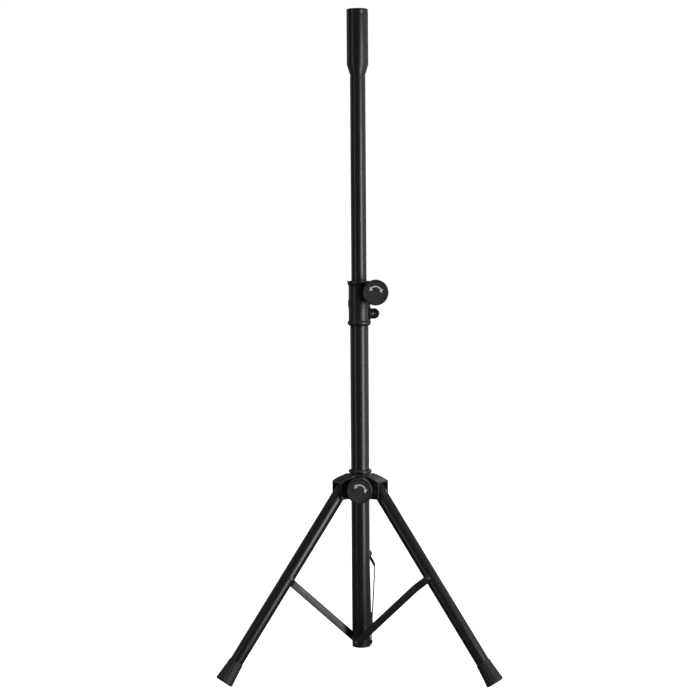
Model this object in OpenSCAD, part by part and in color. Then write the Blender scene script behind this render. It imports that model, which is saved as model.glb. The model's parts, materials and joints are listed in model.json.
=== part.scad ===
// Speaker tripod stand: a telescoping mast on three folding legs.
// Millimetres. The origin is on the floor, under the mast's axis; +Z is up and -Y is the front.
// Leg 1 points to the front right, leg 2 to the back and leg 3 to the front left.

/* [Mast] */
// Height of the top of the pole adapter
stand_h = 1078; // [1060:0.5:1120]
// Outside diameter of the pole adapter, a standard speaker pole
pole_d = 35; // [34.5:0.1:35.5]
// Length of the adapter's parallel sleeve, its cap included
pole_len = 89.5; // [80:0.5:100]
// Length of the adapter's tapered foot
pole_taper = 15; // [12:0.5:18]
// Outside diameter of the upper tube
upper_d = 25; // [24.8:0.1:25.2]
// Outside diameter of the lower tube
lower_d = 30; // [29.9:0.1:30.1]
// Wall of both mast tubes
mast_wall = 1.5; // [1.4:0.1:1.6]
// Height of the bottom of the mast foot
mast_z = 36; // [35:0.5:36.5]
// Length of upper tube hidden below the collar's top
tube_hidden = 220; // [160:5:225]

/* [Collar] */
// Height of the collar's top
collar_top = 640; // [600:1:645]
// Height of the collar, skirt included
collar_h = 73; // [72:0.5:76]
// Distance of the height knob from the mast's axis
clamp_x = 27.7; // [26:0.1:28]
// Depth of the height knob's axis below the collar's top
clamp_drop = 18.2; // [17:0.1:18.5]
// Distance of the collar's lower lug from the mast's axis
lug_x = 24.6; // [23:0.1:25]
// Depth of the lug's axis below the collar's top
lug_drop = 53; // [51:0.5:54]

/* [Knobs] */
// Diameter of both knobs
knob_d = 41.6; // [38:0.2:41.8]
// Depth of both knobs
knob_h = 16; // [15:0.5:20]

/* [Hub] */
// Height of the hub's top at rest
hub_top = 331; // [330:0.5:333]
// Height of the hub, from its top to the bottom of its arms
hub_h = 45.7; // [45:0.1:46.5]
// Distance of the arms' ends from the mast's axis
arm_r = 43.8; // [43:0.2:45]
// Width of an arm
arm_w = 32; // [31:0.5:33]
// Wall of the arms
arm_wall = 3; // [2.8:0.1:3]

/* [Legs] */
// Angle of the legs from the vertical
leg_angle = 36.25; // [35.75:0.25:36.75]
// Outside diameter of a leg tube
leg_d = 22; // [21.8:0.1:22.2]
// Wall of a leg tube
leg_wall = 1.5; // [1.2:0.1:1.6]
// Distance of a leg's pivot from the mast's axis
pivot_r = 36.5; // [36.3:0.1:37]
// Length of a leg from its pivot to the end of its foot
leg_len = 358.5; // [358:0.5:359]
// Diameter of a rubber foot at its base
foot_d = 29.5; // [28:0.5:30]
// Length of a rubber foot
foot_h = 37; // [30:1:45]

/* [Braces] */
// Distance along the leg from its pivot to the brace's rivet
brace_at = 163.5; // [150:0.5:175]
// Height of the rivets in the mast foot
rivet_z = 43.5; // [43:0.5:45]
// Width of a brace
brace_w = 12.2; // [10:0.1:12.4]
// Thickness of a brace
brace_t = 1.6; // [1.2:0.1:1.6]
// Widest distance of a brace from its leg's centre plane
brace_flare = 20.5; // [17:0.5:22]

/* [Hidden] */
$fn = 72;
leg_azimuths = [-30, 90, 210];

// Gaps: sliding and turning fits, seats of fixed pieces, free faces that pass each other
run_gap = 0.06;
seat_gap = 0.02;
free_gap = 0.3;
eps = 0.01;

// Mast
upper_r = upper_d / 2;
lower_r = lower_d / 2;
lower_bore = lower_r - mast_wall;
pole_r = pole_d / 2;
pole_base = stand_h - pole_len;
cap_h = 8;
plug_depth = 14;
upper_top = pole_base + 45;
upper_bottom = collar_top - tube_hidden;
foot_flange = 2.2;
foot_round = 2;

// Collar
collar_z = collar_top - collar_h;
collar_r = 17.2;
collar_band_r = 18.2;
collar_lip_r = 19.1;
collar_lip = 3;
bush_h = 31;
bush_top = collar_top - collar_lip - seat_gap;
lower_top = bush_top - bush_h - 1;
split_w = 2.5;
clamp_z = collar_top - clamp_drop;
clamp_boss_r = 11;
clamp_front = 17;
clamp_back = 11;
lug_z = collar_top - lug_drop;
lug_r = 8.4;
lug_half = 10;

// Fasteners: studs and clamp nut are M8, the pivots M6, the lug bolt M5
stud_r = 4;
stud_nut_af = 13;
pivot_bolt_r = 3;
pivot_nut_af = 10;
// The two front arms have their bolt heads at the front
pivot_turns = [0, 0, 180];
lug_bolt_r = 2.5;
lug_nut_af = 8;
rivet_r = 2.5;

// Knobs
knob_r = knob_d / 2;
knob_gap = 1;
knob_socket = 9;
stud_tail = clamp_back + 2;

// Hub
hub_z = hub_top - hub_h;
hub_core_r = 18.9;
hub_ring_h = 5.8;
hub_bore = 16.3;
hub_lip_r = lower_r + free_gap;
hub_fillet = 5;
hub_chamfer = 2;
arm_inner_top = hub_top - hub_ring_h;
arm_outer_top = arm_inner_top - 11.6;
arm_root = 10;
hub_knob_z = hub_top - 29.7;
hub_boss_r = 15;
hub_boss_front = 31;
insert_r = 6;
shoe_r = 6.4;
shoe_back = 17.9;

// Legs
leg_r = leg_d / 2;
leg_bore = leg_r - leg_wall;
leg_top = 7.5;
leg_cap = 1.5;
foot_r = foot_d / 2;
foot_edge = 2.5;
foot_floor = 6;
// The foot's rounded inner rim touches the floor
foot_z = (foot_r - foot_edge) * sin(leg_angle) + foot_edge * (1 - cos(leg_angle));
pivot_z = leg_len * cos(leg_angle) + foot_z;

// Braces: rivet to rivet in the leg's centre plane
joint_r = pivot_r + brace_at * sin(leg_angle);
joint_z = pivot_z - brace_at * cos(leg_angle);
brace_len = norm([joint_r, joint_z - rivet_z]);
brace_angle = atan2(joint_r, joint_z - rivet_z);
brace_mast_y = lower_r + free_gap + brace_t / 2;
brace_leg_y = leg_r + free_gap + brace_t / 2;

painted = "#1c1c1d";
moulded = "#232324";
rubber = "#19191a";
zinc = "#9c9fa3";
acetal = "#d9d6cc";
brass = "#b5923f";

// ---- shared shapes ----

// A tube or ring along Z from z0 to z1
module ring(r_out, r_in, z0, z1) {
    difference() {
        translate([0, 0, z0]) cylinder(r = r_out, h = z1 - z0);
        translate([0, 0, z0 - 1]) cylinder(r = r_in, h = z1 - z0 + 2);
    }
}

// A rod along Y from y0 to y1
module rod_y(r, y0, y1) {
    translate([0, y1, 0]) rotate([90, 0, 0]) cylinder(r = r, h = y1 - y0);
}

// A hexagonal bar along Y, af across its flats
module hex_y(af, y0, y1) {
    translate([0, y1, 0]) rotate([90, 30, 0]) cylinder(r = af / sqrt(3), h = y1 - y0, $fn = 6);
}

// A domed head on the -Y side of the plane y0
module dome_y(r, h, y0) {
    ball = (r * r + h * h) / (2 * h);
    translate([0, y0, 0]) rotate([90, 0, 0]) rotate_extrude() intersection() {
        translate([0, h - ball]) circle(r = ball);
        square([r, h]);
    }
}

// Leg n's frame: +X away from the mast, the brace on its -Y side
module at_leg(n) {
    rotate([0, 0, leg_azimuths[n - 1]]) children();
}

// Leg n's own axis: the origin at its pivot, +Z up the leg
module on_leg(n) {
    at_leg(n) translate([pivot_r, 0, pivot_z]) rotate([0, -leg_angle, 0]) children();
}

// Brace n's own axis: the origin at the mast's rivet, +Z along the brace
module on_brace(n) {
    at_leg(n) translate([0, 0, rivet_z]) rotate([0, brace_angle, 0]) children();
}

// ---- mast ----

module mast_lower() {
    color(painted) difference() {
        ring(lower_r, lower_bore, mast_z + foot_flange, lower_top);
        for (n = [1:3]) at_leg(n) translate([0, 0, rivet_z])
            rod_y(rivet_r + seat_gap, -lower_r - 1, 0);
    }
}

// Moulded plug that closes the tube's end and holds the three rivets
module mast_foot() {
    plug_r = lower_bore - seat_gap;
    plug_top = mast_z + 42;
    solid_top = rivet_z + 8;
    color(moulded) difference() {
        union() {
            rotate_extrude() {
                translate([0, mast_z]) square([lower_r - foot_round, foot_flange]);
                translate([0, mast_z + foot_round]) square([lower_r, foot_flange - foot_round]);
                intersection() {
                    translate([lower_r - foot_round, mast_z + foot_round]) circle(r = foot_round);
                    translate([0, mast_z]) square([lower_r, foot_round]);
                }
            }
            translate([0, 0, mast_z + foot_round])
                cylinder(r = plug_r, h = plug_top - mast_z - foot_round);
        }
        translate([0, 0, solid_top]) cylinder(r = plug_r - 3, h = plug_top);
        for (n = [1:3]) at_leg(n) translate([0, 0, rivet_z])
            rod_y(rivet_r + seat_gap, -lower_r, -5.9);
    }
}

module foot_rivets() {
    head_y = -(brace_mast_y + brace_t / 2 + 0.2);
    color(painted) for (n = [1:3]) at_leg(n) translate([0, 0, rivet_z]) {
        rod_y(rivet_r, head_y - eps, -6);
        dome_y(4.2, 1.6, head_y);
    }
}

// ---- collar ----

module collar_profile() {
    skirt_r = lower_r + 0.9;
    polygon([
        [lower_r + run_gap, collar_z], [skirt_r, collar_z],
        [collar_lip_r - 0.2, collar_z + 2.3], [collar_lip_r, collar_z + 2.8],
        [collar_lip_r, collar_z + 6.6], [collar_lip_r - 0.9, collar_z + 7.4],
        [collar_r, collar_z + 7.8], [collar_r, collar_top - 43.5],
        [collar_band_r, collar_top - 41.5], [collar_band_r, collar_top - 31.5],
        [collar_r, collar_top - 29.5], [collar_r, collar_top - 8],
        [collar_lip_r, collar_top - 4], [collar_lip_r, collar_top - 0.8],
        [collar_lip_r - 0.8, collar_top], [upper_r + 0.5, collar_top],
        [upper_r + 0.5, collar_top - collar_lip],
        [lower_r + run_gap, collar_top - collar_lip]
    ]);
}

// The pinch clamp: an upper boss for the knob's stud and a lower lug for the small bolt
module collar_ears() {
    root_x = lower_r - 2;
    rib_half = 7.5;
    translate([root_x, -rib_half, collar_z + 7]) cube([18.4 - root_x, 2 * rib_half, collar_h - 7]);
    translate([clamp_x, 0, clamp_z]) rod_y(clamp_boss_r, -clamp_front, clamp_back);
    translate([root_x, -clamp_back, clamp_z - clamp_boss_r])
        cube([clamp_x - root_x, 2 * clamp_back, 2 * clamp_boss_r]);
    translate([root_x, -clamp_back, clamp_z]) cube([10.5, 2 * clamp_back, clamp_drop]);
    translate([lug_x, 0, lug_z]) rod_y(lug_r, -lug_half, lug_half);
    translate([root_x, -lug_half, lug_z - lug_r]) cube([lug_x - root_x, 2 * lug_half, 2 * lug_r]);
}

module collar_body() {
    color(moulded) difference() {
        union() {
            rotate_extrude() collar_profile();
            difference() {
                collar_ears();
                translate([0, 0, collar_z - 1]) cylinder(r = collar_r - 1, h = collar_h + 2);
            }
        }
        translate([lower_r - 4, -split_w / 2, collar_z - 1]) cube([40, split_w, collar_h + 2]);
        translate([clamp_x, 0, clamp_z]) {
            rod_y(stud_r + run_gap, -clamp_front - 1, clamp_back + 1);
            hex_y(stud_nut_af + 0.2, clamp_back - 6.5, clamp_back + 1);
        }
        translate([lug_x, 0, lug_z]) {
            rod_y(lug_bolt_r + run_gap, -lug_half - 1, lug_half + 1);
            rod_y(4.8, -lug_half - 1, -lug_half + 3.6);
            hex_y(lug_nut_af + 0.2, lug_half - 4.2, lug_half + 1);
        }
    }
}

// Split plastic bush that the collar squeezes on the upper tube
module collar_bush() {
    color(acetal) difference() {
        ring(lower_r, upper_r + run_gap, bush_top - bush_h, bush_top);
        translate([0, -split_w / 2, bush_top - bush_h - 1]) cube([lower_r + 2, split_w, bush_h + 2]);
    }
}

module clamp_nut() {
    color(zinc) translate([clamp_x, 0, clamp_z]) difference() {
        hex_y(stud_nut_af, clamp_back - 6.4, clamp_back);
        rod_y(stud_r + run_gap, clamp_back - 8, clamp_back + 1);
    }
}

module lug_bolt() {
    head_y = -lug_half + 3.5;
    color(zinc) translate([lug_x, 0, lug_z]) {
        rod_y(lug_bolt_r, head_y - 1, lug_half + 1.5);
        difference() {
            rod_y(4.3, head_y - 3, head_y);
            hex_y(4, head_y - 4, head_y - 1.2);
        }
    }
}

module lug_nut() {
    color(zinc) translate([lug_x, 0, lug_z]) difference() {
        hex_y(lug_nut_af, lug_half - 4.1, lug_half);
        rod_y(lug_bolt_r + seat_gap, lug_half - 5, lug_half + 1);
    }
}

// ---- knobs ----

// A round knob on +Z: flat back at z = 0, bevelled rim, slightly sunk face, hollow back
module knob_shape() {
    bevel = 3;
    face_r = knob_r - bevel - 0.6;
    rotate_extrude() polygon([
        [stud_r + seat_gap, 0.6], [8.5, 0.6], [8.5, knob_h - 5], [knob_r - 3.2, knob_h - 5],
        [knob_r - 3.2, 0], [knob_r - 0.8, 0], [knob_r, 0.8],
        [knob_r, knob_h - bevel - 0.8], [knob_r - 0.5, knob_h - bevel + 0.2], [knob_r - bevel, knob_h],
        [face_r, knob_h], [face_r - 0.4, knob_h - 0.5], [0, knob_h - 0.5],
        [0, knob_socket], [stud_r + seat_gap, knob_socket]
    ]);
}

module height_knob() {
    color(moulded) translate([clamp_x, -clamp_front - knob_gap, clamp_z])
        rotate([90, 0, 0]) knob_shape();
}

module height_knob_stud() {
    knob_back = -clamp_front - knob_gap;
    color(zinc) translate([clamp_x, 0, clamp_z])
        rod_y(stud_r, knob_back - knob_socket + 0.1, stud_tail);
}

module hub_knob() {
    color(moulded) translate([0, -hub_boss_front - knob_gap, hub_knob_z])
        rotate([90, 0, 0]) knob_shape();
}

module hub_knob_stud() {
    knob_back = -hub_boss_front - knob_gap;
    color(zinc) translate([0, 0, hub_knob_z])
        rod_y(stud_r, knob_back - knob_socket + 0.1, -shoe_back - 0.1);
}

// ---- upper mast ----

module mast_upper() {
    color(painted) ring(upper_r, upper_r - mast_wall, upper_bottom, upper_top);
}

// Plastic end piece that centres the upper tube in the lower one
module tube_guide() {
    guide_h = 6;
    spigot = 20;
    color(acetal) difference() {
        union() {
            translate([0, 0, upper_bottom - guide_h])
                cylinder(r = lower_bore - 0.08, h = guide_h - seat_gap);
            translate([0, 0, upper_bottom - 1])
                cylinder(r = upper_r - mast_wall - seat_gap, h = spigot);
        }
        translate([0, 0, upper_bottom - guide_h - 1]) cylinder(r = 8, h = spigot + guide_h);
    }
}

module pole_adapter() {
    bore_r = upper_r + seat_gap;
    sleeve_top = stand_h - cap_h;
    color(painted) rotate_extrude() polygon([
        [bore_r, pole_base - pole_taper], [upper_r + 0.8, pole_base - pole_taper],
        [upper_r + 1.3, pole_base - pole_taper + 1.5], [pole_r - 0.5, pole_base - 2],
        [pole_r - 0.1, pole_base - 0.8], [pole_r, pole_base], [pole_r, sleeve_top],
        [pole_r - 3, sleeve_top], [pole_r - 3, upper_top + 2], [upper_r - 2, upper_top + 2],
        [upper_r - 2, upper_top + seat_gap], [bore_r, upper_top + seat_gap]
    ]);
}

// Cap that closes the adapter: a rounded top and a spigot
module pole_cap() {
    cap_round = 2;
    cap_base = stand_h - cap_h + seat_gap;
    color(painted) rotate_extrude() {
        translate([0, cap_base]) square([pole_r, cap_h - seat_gap - cap_round]);
        translate([0, stand_h - cap_round - eps]) square([pole_r - cap_round, cap_round + eps]);
        intersection() {
            translate([pole_r - cap_round, stand_h - cap_round]) circle(r = cap_round);
            translate([0, stand_h - cap_round]) square([pole_r, cap_round]);
        }
        translate([0, cap_base - plug_depth]) square([pole_r - 3 - run_gap, plug_depth + eps]);
    }
}

// ---- hub ----

// Side view of an arm, from the core to its open end
module arm_outline() {
    polygon([
        [arm_root, hub_z], [arm_r, hub_z], [arm_r, arm_outer_top],
        [arm_r - 9.8, arm_outer_top + 4.8], [hub_core_r, arm_inner_top - 1],
        [arm_root, arm_inner_top]
    ]);
}

// The channel that a leg swings in, open below and at the end
module arm_channel() {
    polygon([
        [hub_core_r + 1, hub_z - 1], [arm_r + 1, hub_z - 1],
        [arm_r + 1, arm_outer_top - arm_wall - 0.4], [arm_r - 9.8, arm_outer_top + 4.8 - arm_wall],
        [hub_core_r + 1, arm_inner_top - arm_wall - 1.4]
    ]);
}

module hub_core() {
    lip_r = hub_lip_r + 0.8;
    rotate_extrude() difference() {
        union() {
            translate([hub_bore, hub_z]) square([hub_core_r - hub_bore, hub_h - hub_chamfer]);
            polygon([
                [hub_bore, hub_top - hub_chamfer - eps], [hub_core_r, hub_top - hub_chamfer - eps],
                [hub_core_r, hub_top - hub_chamfer], [hub_core_r - hub_chamfer, hub_top],
                [hub_bore, hub_top]
            ]);
            translate([hub_lip_r, hub_z - hub_fillet])
                square([lip_r + hub_fillet - hub_lip_r, hub_fillet + 2]);
        }
        translate([lip_r + hub_fillet, hub_z - hub_fillet]) circle(r = hub_fillet);
    }
}

module hub_body() {
    color(moulded) difference() {
        union() {
            hub_core();
            for (n = [1:3]) at_leg(n) difference() {
                translate([0, arm_w / 2, 0]) rotate([90, 0, 0]) linear_extrude(arm_w) arm_outline();
                translate([0, arm_w / 2 - arm_wall, 0]) rotate([90, 0, 0])
                    linear_extrude(arm_w - 2 * arm_wall) arm_channel();
            }
            translate([0, 0, hub_knob_z]) rod_y(hub_boss_r, -hub_boss_front, -hub_bore);
        }
        translate([0, 0, hub_z + 1]) cylinder(r = hub_bore, h = hub_h);
        translate([0, 0, hub_z - hub_fillet - 1]) cylinder(r = hub_lip_r, h = hub_h);
        translate([0, 0, hub_knob_z]) {
            rod_y(shoe_r + run_gap, -shoe_back - 0.1, 0);
            rod_y(insert_r + seat_gap, -hub_boss_front - 1, -shoe_back - 2);
            rod_y(stud_r + run_gap, -hub_boss_front, 0);
        }
        for (n = [1:3]) at_leg(n) translate([pivot_r, 0, pivot_z])
            rod_y(pivot_bolt_r + run_gap, -arm_w / 2 - 1, arm_w / 2 + 1);
    }
}

module hub_bush() {
    color(acetal) difference() {
        ring(hub_bore - seat_gap, lower_r + run_gap, hub_z + 1.1, hub_top - 0.5);
        translate([0, 0, hub_knob_z]) rod_y(shoe_r + run_gap, -hub_bore - 1, 0);
    }
}

// Pressure pad between the hub knob's stud and the mast
module hub_shoe() {
    color(acetal) difference() {
        translate([0, 0, hub_knob_z]) rod_y(shoe_r, -shoe_back, -lower_r + 3);
        translate([0, 0, hub_z]) cylinder(r = lower_r + run_gap, h = hub_h);
    }
}

module hub_insert() {
    color(brass) translate([0, 0, hub_knob_z]) difference() {
        rod_y(insert_r, -hub_boss_front, -shoe_back - 2.1);
        rod_y(stud_r + run_gap, -hub_boss_front - 1, 0);
    }
}

// Pivot n's own frame: the origin on the pivot, the bolt's head on the -Y side
module at_pivot(n) {
    at_leg(n) translate([pivot_r, 0, pivot_z]) rotate([0, 0, pivot_turns[n - 1]]) children();
}

module pivot_bolts() {
    head_y = -arm_w / 2 - 0.05;
    color(zinc) for (n = [1:3]) at_pivot(n) {
        rod_y(pivot_bolt_r, head_y - eps, arm_w / 2 + 5);
        dome_y(4.4, 1.6, head_y);
    }
}

module pivot_nuts() {
    seat_y = arm_w / 2 + 0.05;
    color(zinc) for (n = [1:3]) at_pivot(n) difference() {
        hex_y(pivot_nut_af, seat_y, seat_y + 4);
        rod_y(pivot_bolt_r + seat_gap, seat_y - 1, seat_y + 5);
    }
}

// ---- legs ----

module leg(n) {
    color(painted) on_leg(n) difference() {
        ring(leg_r, leg_bore, -leg_len + foot_floor + 0.1, leg_top);
        rod_y(pivot_bolt_r + run_gap, -leg_r - 1, leg_r + 1);
        translate([0, 0, -brace_at]) rod_y(rivet_r + seat_gap, -leg_r - 1, leg_r + 1);
    }
}

// Plug in the leg's top end, which also takes the pivot bolt
module leg_plug(n) {
    depth = 17;
    color(moulded) on_leg(n) difference() {
        union() {
            translate([0, 0, leg_top + seat_gap]) cylinder(r = leg_r, h = leg_cap);
            translate([0, 0, leg_top - depth]) cylinder(r = leg_bore - run_gap, h = depth + 0.5);
        }
        rod_y(pivot_bolt_r + run_gap, -leg_r, leg_r);
    }
}

// Leg side of the brace's joint: the rivet's shank and its rolled, hollow tail
module leg_rivet(n) {
    tail_r = 4;
    tail_h = 1.4;
    color(painted) on_leg(n) translate([0, 0, -brace_at]) difference() {
        union() {
            rod_y(rivet_r, -leg_r, leg_r);
            mirror([0, 1, 0]) dome_y(tail_r, tail_h, -leg_r);
        }
        rod_y(1.5, leg_r - 4, leg_r + 3);
    }
}

module foot(n) {
    top_r = leg_r + 1.25;
    straight = foot_h - foot_edge;
    color(rubber) on_leg(n) translate([0, 0, -leg_len]) rotate_extrude() difference() {
        union() {
            square([foot_r - foot_edge, foot_edge + 1]);
            translate([0, foot_edge]) polygon([
                [0, 0], [foot_r, 0], [foot_r - 0.3, 3],
                [top_r, straight - 0.6], [top_r - 0.4, straight], [0, straight]
            ]);
            intersection() {
                translate([foot_r - foot_edge, foot_edge]) circle(r = foot_edge);
                square([foot_r, foot_edge]);
            }
        }
        translate([-1, foot_floor]) square([leg_r + seat_gap + 1, foot_h]);
    }
}

// ---- braces ----

// Distance of a brace's centre line from its leg's centre plane, as points along its length
brace_path = [
    [-brace_w, brace_mast_y], [8, brace_mast_y], [brace_len - 25, brace_flare],
    [brace_len - 7.5, brace_leg_y], [brace_len + brace_w, brace_leg_y]
];

// Flat steel strip with round ends, bent along brace_path
module brace(n) {
    side = [0, brace_t / 2];
    front = [for (p = brace_path) p + side];
    back = [for (i = [len(brace_path) - 1:-1:0]) brace_path[i] - side];
    color(painted) on_brace(n) difference() {
        intersection() {
            rotate(180, [1, 0, 1]) translate([0, 0, -brace_w / 2]) linear_extrude(brace_w)
                polygon(concat(front, back));
            union() {
                rod_y(brace_w / 2, -30, 0);
                translate([0, 0, brace_len]) rod_y(brace_w / 2, -30, 0);
                translate([-brace_w / 2, -30, 0]) cube([brace_w, 30, brace_len]);
            }
        }
        rod_y(rivet_r + run_gap, -30, 0);
        translate([0, 0, brace_len]) rod_y(rivet_r + seat_gap, -30, 0);
    }
}

// Brace side of the leg's joint: the rivet's head and the shank in the brace
module brace_rivet(n) {
    face_y = -brace_leg_y - brace_t / 2;
    color(painted) on_brace(n) translate([0, 0, brace_len]) {
        rod_y(rivet_r, face_y - 0.5, -brace_leg_y + brace_t / 2);
        dome_y(4.9, 2.6, face_y - seat_gap);
    }
}

mast_lower();
mast_foot();
foot_rivets();
collar_body();
collar_bush();
clamp_nut();
lug_bolt();
lug_nut();
height_knob();
height_knob_stud();
mast_upper();
tube_guide();
pole_adapter();
pole_cap();
hub_body();
hub_bush();
hub_shoe();
hub_insert();
pivot_bolts();
pivot_nuts();
hub_knob();
hub_knob_stud();
leg(1);  // leg_1
leg(2);  // leg_2
leg(3);  // leg_3
leg_plug(1);  // leg_plug_1
leg_plug(2);  // leg_plug_2
leg_plug(3);  // leg_plug_3
leg_rivet(1);  // leg_rivet_1
leg_rivet(2);  // leg_rivet_2
leg_rivet(3);  // leg_rivet_3
foot(1);  // foot_1
foot(2);  // foot_2
foot(3);  // foot_3
brace(1);  // brace_1
brace(2);  // brace_2
brace(3);  // brace_3
brace_rivet(1);  // brace_rivet_1
brace_rivet(2);  // brace_rivet_2
brace_rivet(3);  // brace_rivet_3
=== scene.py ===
"""Looks of the speaker tripod stand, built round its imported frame. Metres; -Y is the front."""
import json
from math import acos, atan2, cos, hypot, pi, radians, sin, sqrt, tan

import bmesh
import bpy
from mathutils import Matrix, Vector


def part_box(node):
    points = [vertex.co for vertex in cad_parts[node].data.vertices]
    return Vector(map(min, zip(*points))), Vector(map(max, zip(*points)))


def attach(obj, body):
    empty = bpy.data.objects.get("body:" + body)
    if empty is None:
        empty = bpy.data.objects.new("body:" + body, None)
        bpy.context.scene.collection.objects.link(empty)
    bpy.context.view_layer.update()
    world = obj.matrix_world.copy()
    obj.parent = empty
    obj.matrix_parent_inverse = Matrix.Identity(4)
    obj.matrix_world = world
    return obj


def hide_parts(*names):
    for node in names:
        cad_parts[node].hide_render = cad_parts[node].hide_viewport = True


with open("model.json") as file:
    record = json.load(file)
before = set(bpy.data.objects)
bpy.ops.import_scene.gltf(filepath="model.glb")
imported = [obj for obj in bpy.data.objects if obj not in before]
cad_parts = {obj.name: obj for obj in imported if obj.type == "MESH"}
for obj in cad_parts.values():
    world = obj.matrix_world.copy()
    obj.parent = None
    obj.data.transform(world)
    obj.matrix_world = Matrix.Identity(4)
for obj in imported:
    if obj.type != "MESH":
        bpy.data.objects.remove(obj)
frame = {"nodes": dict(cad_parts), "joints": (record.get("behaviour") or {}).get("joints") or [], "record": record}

MM = 0.001
SMOOTH_ANGLE = radians(38)
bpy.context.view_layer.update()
joints = {j["name"]: j for j in frame["joints"]}
LEGS = (1, 2, 3)


# ---- places and sizes, read from the frame ----

def middle(node):
    low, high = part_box(node)
    return (low + high) / 2


def height_of(node):
    low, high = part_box(node)
    return low.z, high.z


def half_width(node):
    low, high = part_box(node)
    return (high.x - low.x) / 2


lower_r = half_width("mast_lower")
upper_r = half_width("mast_upper")
pole_r = half_width("pole_adapter")
knob_r = half_width("hub_knob")
leg_r = half_width("leg_2")
mast_wall, arm_w, brace_w = 1.5 * MM, 32 * MM, 12.2 * MM

leg_pivot = Vector(joints["leg_hinge_2"]["pos_m"])
brace_pivot = Vector(joints["brace_hinge_2"]["pos_m"])
pivot_r, pivot_z = leg_pivot.y, leg_pivot.z
rivet_z = brace_pivot.z
leg_angle, brace_at = radians(36.25), 163.5 * MM
joint_r, joint_z = pivot_r + brace_at * sin(leg_angle), pivot_z - brace_at * cos(leg_angle)
brace_len = hypot(joint_r, joint_z - rivet_z)
brace_angle = atan2(joint_r, joint_z - rivet_z)


def leg_azimuth(n):
    pos = joints[f"leg_hinge_{n}"]["pos_m"]
    return atan2(pos[1], pos[0])


def leg_frame(n):
    """Leg n's side view: +X away from the mast, +Z up, the brace on the -Y side."""
    return Matrix.Rotation(leg_azimuth(n), 4, "Z")


def leg_axis(n):
    """Leg n's own axis: the origin at its pivot, +Z up the leg."""
    return leg_frame(n) @ Matrix.Translation((pivot_r, 0, pivot_z)) @ Matrix.Rotation(-leg_angle, 4, "Y")


def brace_axis(n):
    """Brace n's own axis: the origin at the mast's rivet, +Z along the brace."""
    return leg_frame(n) @ Matrix.Translation((0, 0, rivet_z)) @ Matrix.Rotation(brace_angle, 4, "Y")


def facing_front(x, y, z):
    """A frame at that point with +Z pointing to the front."""
    return Matrix.Translation((x, y, z)) @ Matrix.Rotation(pi / 2, 4, "X")


TO_BRACE_SIDE = Matrix.Rotation(pi / 2, 4, "X")     # turns +Z to -Y
TO_FAR_SIDE = Matrix.Rotation(-pi / 2, 4, "X")      # turns +Z to +Y


# ---- camera, floor and lights ----

def place_camera():
    distance, height = 2.7606, 0.7219
    round_mast, pitch, yaw, roll = radians(1.789), radians(4.036), radians(-0.321), radians(-0.402)
    ahead = Vector((sin(yaw) * cos(pitch), cos(yaw) * cos(pitch), -sin(pitch)))
    level = Vector((cos(yaw), -sin(yaw), 0))
    over = level.cross(ahead)
    right = level * cos(roll) + over * sin(roll)
    up = over * cos(roll) - level * sin(roll)
    turn = Matrix((right, up, -ahead)).transposed().to_4x4()
    camera = bpy.data.objects.new("camera", bpy.data.cameras.new("camera"))
    camera.matrix_world = (Matrix.Rotation(round_mast, 4, "Z")
                           @ Matrix.Translation((0, -distance, height)) @ turn)
    camera.data.lens = 87.06
    camera.data.clip_start, camera.data.clip_end = 0.05, 60
    bpy.context.scene.collection.objects.link(camera)
    bpy.context.scene.camera = camera


def lamp(name, place, aim, size, power, shade=(1, 1, 1)):
    data = bpy.data.lights.new(name, "AREA")
    data.shape = "RECTANGLE"
    data.size, data.size_y = size
    data.energy = power
    data.color = shade
    light = bpy.data.objects.new(name, data)
    light.location = place
    light.rotation_mode = "QUATERNION"
    light.rotation_quaternion = (Vector(aim) - Vector(place)).to_track_quat("-Z", "Y")
    light.visible_camera = False
    bpy.context.scene.collection.objects.link(light)
    return light


def light_studio():
    """A broad soft box on the right, thin strips round the sides and a canopy over a dim room."""
    for name, turn, far, low, size, power in (
            ("key_right", 49, 2.8, -0.55, (0.9, 2.0), 60), ("edge_right", 88, 2.4, -0.5, (0.6, 2.4), 7),
            ("back_right", 122, 2.6, -0.4, (0.9, 2.4), 7), ("back_left", -122, 2.6, -0.4, (0.9, 2.4), 4),
            ("strip_left", -53, 2.6, -0.5, (0.32, 2.3), 7), ("behind", 162, 2.8, -0.4, (0.5, 2.4), 9)):
        side, aim_z = radians(turn), low + size[1] / 2
        lamp(name, (far * sin(side), -far * cos(side), aim_z), (0, 0, aim_z), size, power)
    lamp("canopy", (0.1, 0.2, 3.4), (0.1, 0.2, 0), (3.0, 3.0), 36)
    world = bpy.data.worlds.new("studio")
    bpy.context.scene.world = world
    world.use_nodes = True
    room = world.node_tree.nodes["Background"]
    room.inputs["Color"].default_value = (1, 1, 1, 1)
    room.inputs["Strength"].default_value = 0.07


# ---- making meshes ----

def soften(outline, closed=True, steps=4):
    """Rounds the corners of an outline of (a, b) or (a, b, radius) points with arcs."""
    result = []
    count = len(outline)
    for i, point in enumerate(outline):
        radius = point[2] if len(point) > 2 else 0
        at_end = not closed and i in (0, count - 1)
        if radius <= 0 or at_end:
            result.append((point[0], point[1]))
            continue
        here = Vector(point[:2])
        before = (Vector(outline[i - 1][:2]) - here)
        after = (Vector(outline[(i + 1) % count][:2]) - here)
        half = before.angle(after) / 2
        cut = min(radius / tan(half), 0.49 * before.length, 0.49 * after.length)
        radius = cut * tan(half)
        start, end = here + before.normalized() * cut, here + after.normalized() * cut
        centre = here + (before.normalized() + after.normalized()).normalized() * (radius / sin(half))
        first, last = start - centre, end - centre
        sweep = first.angle_signed(last)
        for k in range(steps + 1):
            turned = Matrix.Rotation(-sweep * k / steps, 2) @ first
            result.append(tuple(centre + turned))
    return result


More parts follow.
